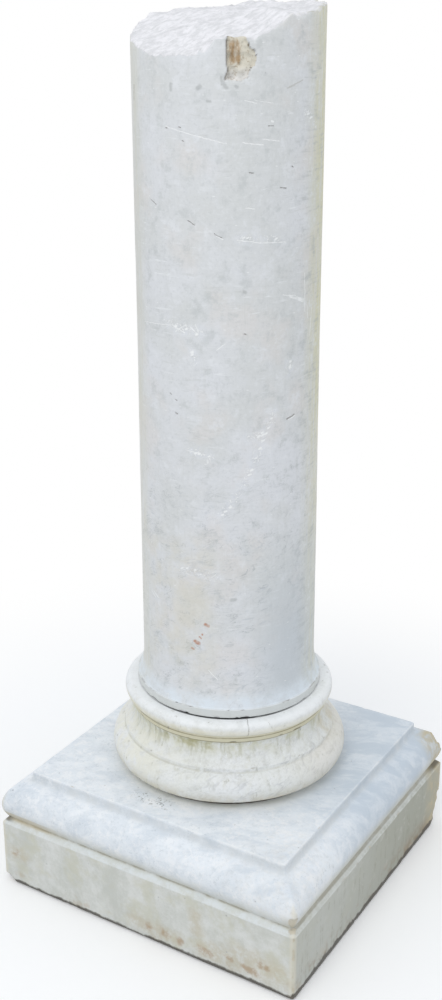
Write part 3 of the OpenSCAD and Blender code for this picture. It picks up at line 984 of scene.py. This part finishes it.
def plinth_finish():
    """Blue-white marble: cloudy top with white blotches and grey specks, grey-cream slab with tan stains, its
    right side painted darker for shade and streaked, painted shade under the round moulding, in its cove and
    on the upright fillet under the top, painted shadow in the quirk, in two corner gaps and along the ground,
    painted light on the top round the base's foot and on the bevel and arrises, and worn cream corners."""
    f = Finish("plinth_marble")
    half, slab_top, round_top, top = plinth_high.x, SLAB_H, ROUND_TOP, plinth_high.z
    blots = f.noise(f.place, 42, 4, 0.6)
    smudge = f.noise(f.place, 75, 5, 0.7)
    mottle = f.noise(f.place, 200, 4, 0.7)
    drifts = f.noise(f.stretched(f.place, (34, 13, 26), 62), 1.0, 5, 0.66, 0.4)
    streaks = f.noise(f.stretched(f.place, (80, 80, 9)), 1.0, 4, 0.65)
    proud = f.attribute("proud")
    slab = f.between(f.z, slab_top + 0.007, slab_top - 0.001)
    right_side = f.times(f.between(f.x, half - 0.006, half - 0.003), slab)

    clouds = f.noise(f.stretched(f.place, (1, 1, 0.7)), 14, 4, 0.6)
    f.colour = f.mix(
        f.between(f.noise(f.place, 9, 4, 0.6), 0.35, 0.65), paint(232, 238, 244), paint(241, 246, 251),
    )
    f.tint(f.between(smudge, 0.50, 0.70), 0.45, (208, 215, 221))
    f.tint(f.between(blots, 0.48, 0.66), 0.70, (249, 251, 253))
    f.tint(f.between(drifts, 0.44, 0.72), 0.60, (203, 213, 223))
    f.tint(f.between(mottle, 0.52, 0.72), 0.30, (200, 206, 212))
    f.tint(f.between(mottle, 0.44, 0.30), 0.35, (250, 252, 253))
    frost = f.times(
        f.between(f.noise(f.place, 115, 5, 0.72), 0.52, 0.60), f.between(clouds, 0.40, 0.60, 0.15, 0.60),
    )
    f.tint(frost, 1, (251, 252, 254))
    dusty = f.times(
        f.between(f.noise(f.place, 130, 5, 0.72), 0.55, 0.66), f.between(clouds, 0.55, 0.40, 0.10, 0.45),
    )
    f.tint(dusty, 1, (188, 196, 203))
    # Painted shade: a soft darker blue-grey patch on the top to the right of the shaft, broken up by the
    # drifts.
    right_top_shade = f.times(f.between(f.x, 0.04, 0.20), f.between(f.y, -0.18, 0.02))
    f.tint(f.times(right_top_shade, f.between(drifts, 0.4, 0.6, 0.5, 0.90)), 1, (200, 211, 222))
    near_corner = f.times(f.between(f.x, 0.10, 0.26), f.between(f.y, -0.10, -0.22))
    f.tint(f.times(f.times(near_corner, 0.30), f.between(smudge, 0.30, 0.70)), 1, (241, 237, 230))

    # Painted shade: the underside of the round moulding turned olive-grey down towards the quirk.
    shade_under_round = f.between(f.z, 0.164, slab_top + 0.010)
    f.tint(f.times(shade_under_round, f.between(blots, 0.3, 0.6, 0.45, 0.80)), 1, (206, 207, 196))
    f.tint(
        slab,
        0.85,
        f.mix(
            f.between(f.sum(f.times(smudge, 0.4), f.times(clouds, 0.6)), 0.36, 0.62),
            paint(232, 233, 230),
            paint(207, 209, 202),
        ),
    )
    f.tint(f.times(slab, f.between(f.noise(f.place, 16, 4, 0.6), 0.48, 0.64)), 0.55, (208, 207, 187))
    # Painted shade: the slab's right side made darker and greener, more so in its middle.
    f.tint(right_side, 0.75, (190, 192, 184))
    f.tint(f.times(right_side, f.between(f.y, -0.26, 0.20)), 0.80, (162, 163, 148))
    weep = f.times(f.between(streaks, 0.50, 0.66), f.between(smudge, 0.40, 0.60))
    f.tint(f.times(right_side, weep), 0.50, (148, 146, 128))
    pale = f.times(f.between(blots, 0.56, 0.68), right_side)
    f.tint(pale, 0.4, (206, 206, 200))
    low_edge = f.times(right_side, f.between(f.z, 0.055, 0.008))
    rusty = f.sum(blots, f.between(f.y, -0.1, 0.28, -0.10, 0.08))
    f.tint(f.times(low_edge, f.between(rusty, 0.40, 0.64, 0.0, 0.9)), 1, (148, 128, 100))

    front = f.between(f.y, 0.004 - half, 0.001 - half)
    face = f.add("ShaderNodeCombineXYZ", {0: f.x, 1: f.z}).outputs[0]
    shade = f.between(smudge, 0.34, 0.58, 0.25, 1.0)
    broad = (BROAD_STAINS, 0.020, 0.42, (204, 190, 158))
    small = (SMALL_STAINS, 0.006, 0.65, (176, 146, 112))
    for marks, soft, strength, shade_of_brown in (broad, small):
        lines = [((x0 * MM, z0 * MM), (x1 * MM, z1 * MM), half_width * MM)
                 for (x0, z0), (x1, z1), half_width in marks]
        stained = f.times(f.strokes(f.wandering(face, 60, 0.018), lines, soft), f.times(front, shade))
        f.tint(stained, strength, shade_of_brown)
    low_stain = f.times(f.between(f.z, 0.060, 0.015), f.between(f.noise(f.place, 26, 4, 0.6), 0.54, 0.68))
    f.tint(low_stain, 0.40, (190, 172, 146))

    # Painted shade: the upright fillet under the top made greyer in patches.
    riser_shade = f.band(f.z, round_top + 0.003, top - 0.007, 0.006)
    f.tint(f.times(riser_shade, f.between(blots, 0.3, 0.7, 0.20, 0.60)), 1, (208, 212, 213))
    # Painted shade in the cove at the foot of the upright fillet.
    groove_shade = f.times(f.between(proud, -0.0002, -0.0008), f.between(f.z, round_top - 0.004, round_top))
    f.tint(groove_shade, 0.50, (190, 197, 202))
    # Painted shadow: a soft brown-grey line in the quirk under the round moulding, wider on the right side.
    side = f.between(f.x, half - 0.016, half - 0.010)
    thin = f.times(
        f.band(f.z, slab_top + 0.0085, slab_top + 0.0105, 0.0018), f.between(blots, 0.35, 0.62, 0.15, 0.70),
    )
    thick = f.times(
        f.band(f.z, slab_top + 0.0058, slab_top + 0.0100, 0.0025), f.between(blots, 0.3, 0.6, 0.35, 0.75),
    )
    f.tint(f.most(f.times(side, thick), thin), 1, (160, 155, 138))
    # Painted shade: the round moulding's underside on the right side made warmer and darker above the quirk.
    side_shade_under_round = f.times(f.between(f.x, half - 0.030, half - 0.012), f.between(f.z, 0.172, slab_top + 0.012))
    f.tint(f.times(side_shade_under_round, f.between(f.z, slab_top + 0.004, slab_top + 0.010)), 0.6, (206, 204, 192))
    # Painted shadow: the quirk under the round moulding made brown at its left end.
    left_end = f.times(f.band(f.z, slab_top + 0.006, slab_top + 0.022, 0.004), f.between(f.x, -0.14, -0.24))
    f.tint(left_end, 0.55, (196, 182, 148))
    # Painted highlight: the upward-facing bevel under the quirk made lighter, bluish at the front and greyer
    # on the right side.
    bevel = f.most(
        f.band(f.z, slab_top - 0.0005, slab_top + 0.0036, 0.0020),
        f.times(
            f.band(f.z, slab_top, slab_top + 0.0045, 0.0030), f.between(f.x, half - 0.010, half - 0.016),
        ),
    )
    f.tint(
        f.times(bevel, f.between(smudge, 0.34, 0.60, 0.90, 0.35)),
        1,
        f.mix(side, paint(228, 233, 235), paint(220, 222, 218)),
    )
    # Painted highlight along the arrises, which are also worn lighter.
    bright = f.times(f.between(proud, 0.0003, 0.0009), f.between(blots, 0.35, 0.6))
    f.tint(bright, 0.4, (244, 245, 243))

    inner = f.add("ShaderNodeMath", {0: f.size(f.x), 1: f.size(f.y)}, operation="MINIMUM").outputs[0]
    upright = f.between(f.sum(inner, f.times(smudge, 0.010)), half - 0.007, half + 0.002)
    f.tint(upright, 0.60, (232, 226, 208))
    far_corner = f.times(f.between(f.x, 0.235, 0.275), f.between(f.y, 0.215, 0.270))
    far_corner = f.times(far_corner, f.between(f.z, round_top + 0.002, round_top - 0.006))
    f.tint(f.times(far_corner, f.between(blots, 0.35, 0.6, 0.30, 1.0)), 1, (196, 184, 152))
    # Painted shadow: a dark notch in the quirk at the left corner.
    left_gap_shadow = f.times(
        f.between(f.x, -0.272, -0.290), f.band(f.z, slab_top + 0.005, slab_top + 0.014, 0.003),
    )
    f.tint(left_gap_shadow, 0.75, (92, 86, 72))
    # Painted shadow: a dark line in the quirk on the far side.
    far_gap_shadow = f.times(f.between(f.y, 0.235, 0.275), f.band(f.z, slab_top + 0.004, slab_top + 0.014, 0.004))
    f.tint(far_gap_shadow, 0.8, (84, 76, 60))
    f.tint(f.between(f.attribute("broken"), 0.3, 0.8), 0.7, (212, 202, 180))
    specks = f.specks(f.place, 75, 0.14, 0.08)
    cluster = f.times(f.band(f.x, -0.054, 0.014, 0.02), f.band(f.y, -0.226, -0.208, 0.010))
    cluster = f.times(cluster, f.between(f.noise(f.place, 170, 4, 0.75), 0.54, 0.61))
    f.tint(f.most(f.times(specks, 0.5), cluster), 0.7, (132, 134, 134))
    # Painted shadow: a ragged dark line along the ground, reaching higher on the right side.
    uneven = f.sum(f.times(blots, -0.014), f.times(right_side, f.times(smudge, -0.011)))
    ground = f.between(f.sum(f.z, uneven), 0.0045, 0.0000)
    f.tint(ground, 0.9, (66, 60, 50))
    on_top = f.between(f.z, top - 0.003, top - 0.001)
    # Painted light: the top made lighter in a ring round the base's foot, where the torus shades it.
    f.tint(f.times(f.band(f.radius(), 0.180, 0.190, 0.030), f.times(on_top, 0.45)), 1, (250, 253, 255))
    # Painted contact shadow: a dark brown ring under the edge of the base's torus.
    seat = f.times(f.band(f.radius(), 0.170, 0.1838, 0.0020), on_top)
    f.tint(f.times(seat, f.between(smudge, 0.3, 0.6, 0.6, 0.95)), 1, (112, 96, 84))

    relief = f.sum(f.times(mottle, 0.18), f.times(specks, -0.6))
    rugged = f.times(f.between(f.attribute("broken"), 0.2, 0.8), f.noise(f.place, 300, 3, 0.7))
    return f.finish(0.5, f.sum(relief, rugged), 0.001)


# ---------------------------------------------------------------- stage, light and camera

def set_world():
    """Soft sky at a plain level, and a white backdrop for the camera and for reflections."""
    world = bpy.data.worlds.new("studio")
    world.use_nodes = True
    bpy.context.scene.world = world
    tree = world.node_tree
    path = tree.nodes.new("ShaderNodeLightPath")
    seen = tree.nodes.new("ShaderNodeMath")
    seen.operation = "MAXIMUM"
    tree.links.new(path.outputs["Is Camera Ray"], seen.inputs[0])
    tree.links.new(path.outputs["Is Glossy Ray"], seen.inputs[1])
    also = tree.nodes.new("ShaderNodeMath")
    also.operation = "MAXIMUM"
    tree.links.new(seen.outputs[0], also.inputs[0])
    tree.links.new(path.outputs["Is Transmission Ray"], also.inputs[1])
    mix = tree.nodes.new("ShaderNodeMix")
    mix.data_type = "RGBA"
    mix.inputs[6].default_value = (0.760, 0.785, 0.815, 1)
    mix.inputs[7].default_value = (1, 1, 1, 1)
    tree.links.new(also.outputs[0], mix.inputs[0])
    tree.links.new(mix.outputs[2], tree.nodes["Background"].inputs["Color"])


def set_floor():
    """A pale round floor that keeps the shadow near the plinth and fades to plain white further out."""
    angle = np.linspace(0, 2 * math.pi, 97)[:-1]
    ring = np.column_stack([np.cos(angle), np.sin(angle), np.zeros(96)]) * 9
    mesh = bpy.data.meshes.new("floor")
    mesh.from_pydata(ring.tolist(), [], [list(range(96))])
    floor = bpy.data.objects.new("floor", mesh)
    bpy.context.scene.collection.objects.link(floor)
    f = Finish("pale_floor")
    f.shader.inputs["Roughness"].default_value = 0.9
    f.shader.inputs["Base Color"].default_value = (0.70, 0.70, 0.69, 1)
    path = f.add("ShaderNodeLightPath").outputs
    seen = f.most(path["Is Camera Ray"], path["Is Glossy Ray"], path["Is Transmission Ray"])
    lit = f.add("ShaderNodeBsdfDiffuse", {"Color": (0.9, 0.9, 0.9, 1)}).outputs[0]
    glow = f.add("ShaderNodeEmission", {"Color": (1, 1, 1, 1), "Strength": 0.16}).outputs[0]
    near = f.add("ShaderNodeAddShader", {0: lit, 1: glow}).outputs[0]
    white = f.add("ShaderNodeEmission", {"Color": (1, 1, 1, 1), "Strength": 1.0}).outputs[0]
    reach = f.add("ShaderNodeVectorMath", {0: f.place}, operation="LENGTH").outputs["Value"]
    far = f.between(reach, 0.55, 1.3)
    shown = f.add("ShaderNodeMixShader", {0: far, 1: near, 2: white}).outputs[0]
    surface = f.add("ShaderNodeMixShader", {0: seen, 1: f.shader.outputs[0], 2: shown}).outputs[0]
    f.feed(f.tree.nodes["Material Output"].inputs["Surface"], surface)
    mesh.materials.append(f.material)


def set_light():
    """One large soft lamp high on the front, aimed at the middle of the column."""
    data = bpy.data.lights.new("softbox", "AREA")
    data.shape = "DISK"
    data.size = 2.4
    data.energy = 36
    data.color = (1.0, 0.985, 0.96)
    lamp = bpy.data.objects.new("softbox", data)
    aim = Vector((0, 0, 0.8))
    azimuth, elevation = math.radians(-80), math.radians(50)
    way = Vector((
        math.cos(elevation) * math.cos(azimuth),
        math.cos(elevation) * math.sin(azimuth),
        math.sin(elevation),
    ))
    lamp.location = aim + 4.0 * way
    lamp.rotation_euler = way.to_track_quat("Z", "Y").to_euler()
    bpy.context.scene.collection.objects.link(lamp)


def set_camera():
    """A viewer's eye 1.53 m up and 2.1 m off, turned 33 degrees from the plinth's side, looking down."""
    data = bpy.data.cameras.new("eye")
    data.sensor_width = 36
    data.lens = 47.53
    data.shift_x = 0.0417
    data.shift_y = -0.0241
    camera = bpy.data.objects.new("eye", data)
    azimuth, elevation, roll = (math.radians(a) for a in (33.17, 20.17, -0.85))
    forward = Vector((
        -math.sin(azimuth) * math.cos(elevation),
        math.cos(azimuth) * math.cos(elevation),
        -math.sin(elevation),
    ))
    level = forward.cross(Vector((0, 0, 1))).normalized()
    upright = level.cross(forward)
    right = math.cos(roll) * level + math.sin(roll) * upright
    up = math.cos(roll) * upright - math.sin(roll) * level
    turn = Matrix((right, up, -forward)).transposed().to_4x4()
    camera.matrix_world = Matrix.Translation((1.0874, -1.8173, 1.5304)) @ turn
    bpy.context.scene.collection.objects.link(camera)
    bpy.context.scene.camera = camera


make_plinth(plinth_finish())
make_base(base_finish())
make_shaft(shaft_finish())
set_world()
set_floor()
set_light()
set_camera()
bpy.context.scene.view_settings.view_transform = "Standard"
